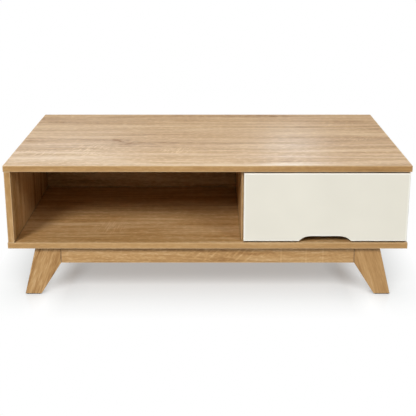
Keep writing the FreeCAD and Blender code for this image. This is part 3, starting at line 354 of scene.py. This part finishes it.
shared_finishes = {
    "drawer_left_side drawer_right_side drawer_back": white_foil,
    "drawer_base": painted_hardboard,
    "frame_dowels carcass_dowels drawer_dowels": beech,
    "base_brackets base_bracket_screws connector_screws cam_bolts drawer_cam_bolts drawer_screws runner_screws "
    "drawer_runner_screws roller_rivets drawer_roller_rivets": zinc_plate,
    "cam_discs drawer_cam_discs": cast_zinc,
    "left_runner right_runner drawer_left_runner drawer_right_runner": powder_coat,
    "front_left_roller front_right_roller rear_left_roller rear_right_roller": nylon,
    "foot_glides": black_plastic,
    "cam_covers": brown_plastic,
    "drawer_bumpers": clear_rubber,
}
for names, finish in shared_finishes.items():
    finishes.update({name: finish for name in names.split()})
for name, piece in nodes.items():
    piece.data.materials.clear()
    piece.data.materials.append(finishes[name])


def studio_floor():
    """A flat white sweep, a little glossy, that turns into an evenly lit white a hand's width round the table.

    Its own glow is stronger to the eye than to the table, so that it looks white and still throws little light back.
    The glow is dimmer where a foot or a rail stands close over it.
    """
    mesh = bpy.data.meshes.new("studio_floor")
    mesh.from_pydata([(-9, -9, 0), (9, -9, 0), (9, 9, 0), (-9, 9, 0)], [], [(0, 1, 2, 3)])
    floor = bpy.data.objects.new("studio_floor", mesh)
    made, add, place = blank_finish("white_paint_floor")
    seen = add("LightPath", out="Is Camera Ray")
    # distance outside the rectangle that the table shades, counted double past its ends
    shaded_half = (550, 225, 0)
    off = add("VectorMath", [place], operation="ABSOLUTE")
    away = add("VectorMath", (off, shaded_half), operation="SUBTRACT")
    away = add("VectorMath", (away, (0, 0, 0)), operation="MAXIMUM")
    away = add("VectorMath", (away, (2, 1, 0)), operation="MULTIPLY")
    away = add("VectorMath", [away], out=1, operation="LENGTH")
    foot_reach = 120
    near_feet = add("AmbientOcclusion", {"Distance": foot_reach / MM}, out="AO", samples=8)
    dimmed = add("MapRange", (near_feet, 0.3, 1, 0.35, 1))
    # light creeps in under the ends of the table, most of it on a line across the floor near each end
    end_line, end_reach = 470, 55
    from_line = add("Math", (add("SeparateXYZ", [off]), end_line), operation="SUBTRACT")
    from_line = add("Math", [from_line], operation="ABSOLUTE")
    end_light = add("MapRange", (from_line, 0, end_reach, 1.65, 1))
    # a weak shadow lies between each leg and the middle of the floor
    shadow_middle, shadow_half, shadow_turn = (425, 170, 0), (45, 130, 1), -19
    leg_shadow = oval(add, off, shadow_middle, shadow_half, shadow_turn)
    leg_shadow = add("MapRange", (leg_shadow, 0.2, 1, 0.78, 1))
    glow = add("MapRange", (seen, 0, 1, 0.34, 0.365))
    for share in (dimmed, end_light, leg_shadow):
        glow = add("Math", (glow, share), operation="MULTIPLY")
    near = add("BsdfPrincipled", {
        "Base Color": add("MapRange", (seen, 0, 1, 0.28, 0.49)), "Roughness": 0.14, "Specular IOR Level": 0.6,
        "Emission Color": linear("#F6FBFF"), "Emission Strength": glow,
    })
    thrown_back = add("MapRange", (away, 200, 1100, 0.55, 0.36))
    far = add("Emission", {"Strength": add("MapRange", (seen, 0, 1, thrown_back, 1.0))})
    fade = add("MapRange", (away, 0, 240, 0, 1))
    add("OutputMaterial", {"Surface": add("MixShader", (fade, near, far))})
    mesh.materials.append(made)
    scene.collection.objects.link(floor)
    return floor


def studio_lamp(name, place, aim, size, power, lit, rays="both", tint="#FFFFFF"):
    """A soft oval lamp at a place, turned towards a point, that lights only the objects of one collection.

    Its rays make soft light, gloss or both.
    """
    lamp = bpy.data.lights.new(name, "AREA")
    lamp.shape, lamp.size, lamp.size_y, lamp.energy = "ELLIPSE", *size, power
    lamp.color = linear(tint)[:3]
    stand = bpy.data.objects.new(name, lamp)
    stand.location = place
    stand.rotation_euler = (Vector(aim) - Vector(place)).to_track_quat("-Z", "Y").to_euler()
    stand.light_linking.receiver_collection = lit
    stand.visible_diffuse = rays != "gloss"
    stand.visible_glossy = rays != "soft"
    scene.collection.objects.link(stand)


def studio_light(floor):
    """A key lamp high on the front left, a fill on the right and a weak one behind.

    A weak lamp overhead and cool ones low behind put the gloss on the top, and one lamp lights only the floor.
    """
    table = bpy.data.collections.new("lit_table")
    ground = bpy.data.collections.new("lit_floor")
    for piece in nodes.values():
        table.objects.link(piece)
    ground.objects.link(floor)
    studio_lamp("key_lamp", (-3.24, -5.95, 4.65), (0, -0.1, 0.2), (2.2, 2.2), 410, table, "soft")
    studio_lamp("fill_lamp", (3.4, -4.6, 3.9), (-0.3, 0, 0.2), (2.0, 2.0), 112, table, "soft")
    studio_lamp("back_lamp", (0.8, 5.0, 1.0), (0, 0.2, 0.25), (2.4, 1.6), 30, table, "soft")
    studio_lamp("top_lamp", (0, 0.6, 3.6), (0, 0, 0.4), (2.4, 1.6), 12, table)
    studio_lamp("wide_gloss_lamp", (0, 0.8, 0.88), (0, 0, 0.4), (2.2, 0.2), 2.45, table, "gloss", "#F0F8FF")
    studio_lamp("right_gloss_lamp", (0.35, 0.8, 0.82), (0.2, 0, 0.4), (0.26, 0.22), 0.46, table, "gloss", "#D0EAFF")
    studio_lamp("left_gloss_lamp", (-0.62, 0.8, 0.86), (-0.4, 0, 0.4), (0.7, 0.2), 0.84, table, "gloss", "#D8EEFF")
    studio_lamp("floor_lamp", (0, -3.2, 2.9), (0, -0.2, 0), (5.0, 2.0), 208, ground)


def studio_surround():
    """A surround that is bright behind the table and dim in front of it, so the open bay stays dark.

    To the eye it is plain white.
    """
    world = bpy.data.worlds.new("studio_surround")
    scene.world = world
    world.use_nodes = True
    world.node_tree.nodes.clear()
    add = partial(node, world.node_tree)
    _, y, z = add("SeparateXYZ", [add("TexCoord", out="Generated")]).node.outputs
    behind = add("MapRange", (y, -0.2, 0.6, 0, 1))
    rising = add("MapRange", (z, 0.20, 0.36, 0.12, 0.85))
    glow = add("Math", (rising, behind, 0.21), operation="MULTIPLY_ADD")
    tint = add("Mix", {0: behind, 6: linear("#EFF8E0"), 7: linear("#E7E7E7")}, out=2, data_type="RGBA")
    surround = add("Background", {"Color": tint, "Strength": glow})
    backdrop = add("Background", {"Color": (1, 1, 1, 1), "Strength": 1.0})
    seen = add("LightPath", out="Is Camera Ray")
    add("OutputWorld", {"Surface": add("MixShader", (seen, surround, backdrop))})


def studio_camera():
    """The photograph's viewpoint: 2.6 m in front, 1.06 m up and tilted down, with the frame shifted down."""
    picture, focal = 416, 847.78    # the picture's width and the focal length, in pixels
    tilt = math.radians(15.833)
    view = bpy.data.cameras.new("studio_camera")
    view.sensor_width = 36
    view.lens = focal / picture * view.sensor_width
    view.shift_x, view.shift_y = -0.5 / picture, -48 / picture
    camera = bpy.data.objects.new("studio_camera", view)
    camera.location = (0.0026, -2.6037, 1.0635)
    camera.rotation_euler = (math.pi / 2 - tilt, 0, 0)
    scene.collection.objects.link(camera)
    scene.camera = camera


studio_light(studio_floor())
studio_surround()
studio_camera()
